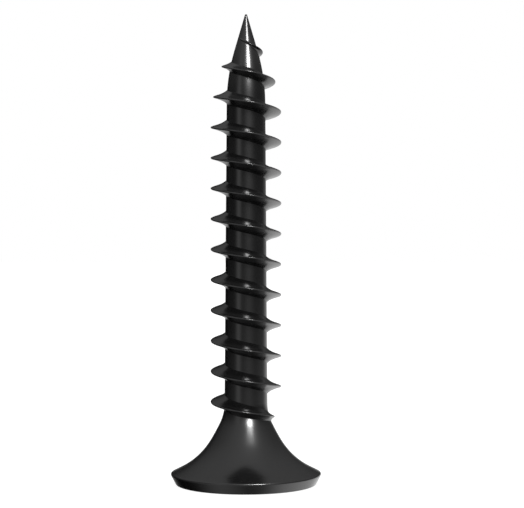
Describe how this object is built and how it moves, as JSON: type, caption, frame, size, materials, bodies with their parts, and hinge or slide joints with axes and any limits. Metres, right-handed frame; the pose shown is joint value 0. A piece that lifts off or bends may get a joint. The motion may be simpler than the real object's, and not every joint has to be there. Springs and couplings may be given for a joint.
{
  "type": "wood screw",
  "caption": "Black bugle-head wood screw with a coarse tapping thread, a sharp point and a cross recess in its flat face.",
  "frame": {"origin": "centre of the head's flat face, which the screw stands on", "axes": "+Z along the screw's axis from the head to the point; the recess wings lie along X and Y"},
  "size_m": [0.008, 0.008, 0.025],
  "materials": {
    "black_steel": "satin black phosphate"
  },
  "bodies": {
    "root": {"head": "black_steel", "neck": "black_steel", "shank": "black_steel", "point": "black_steel", "thread_runout": "black_steel", "thread": "black_steel", "point_thread": "black_steel"}
  },
  "joints": []
}
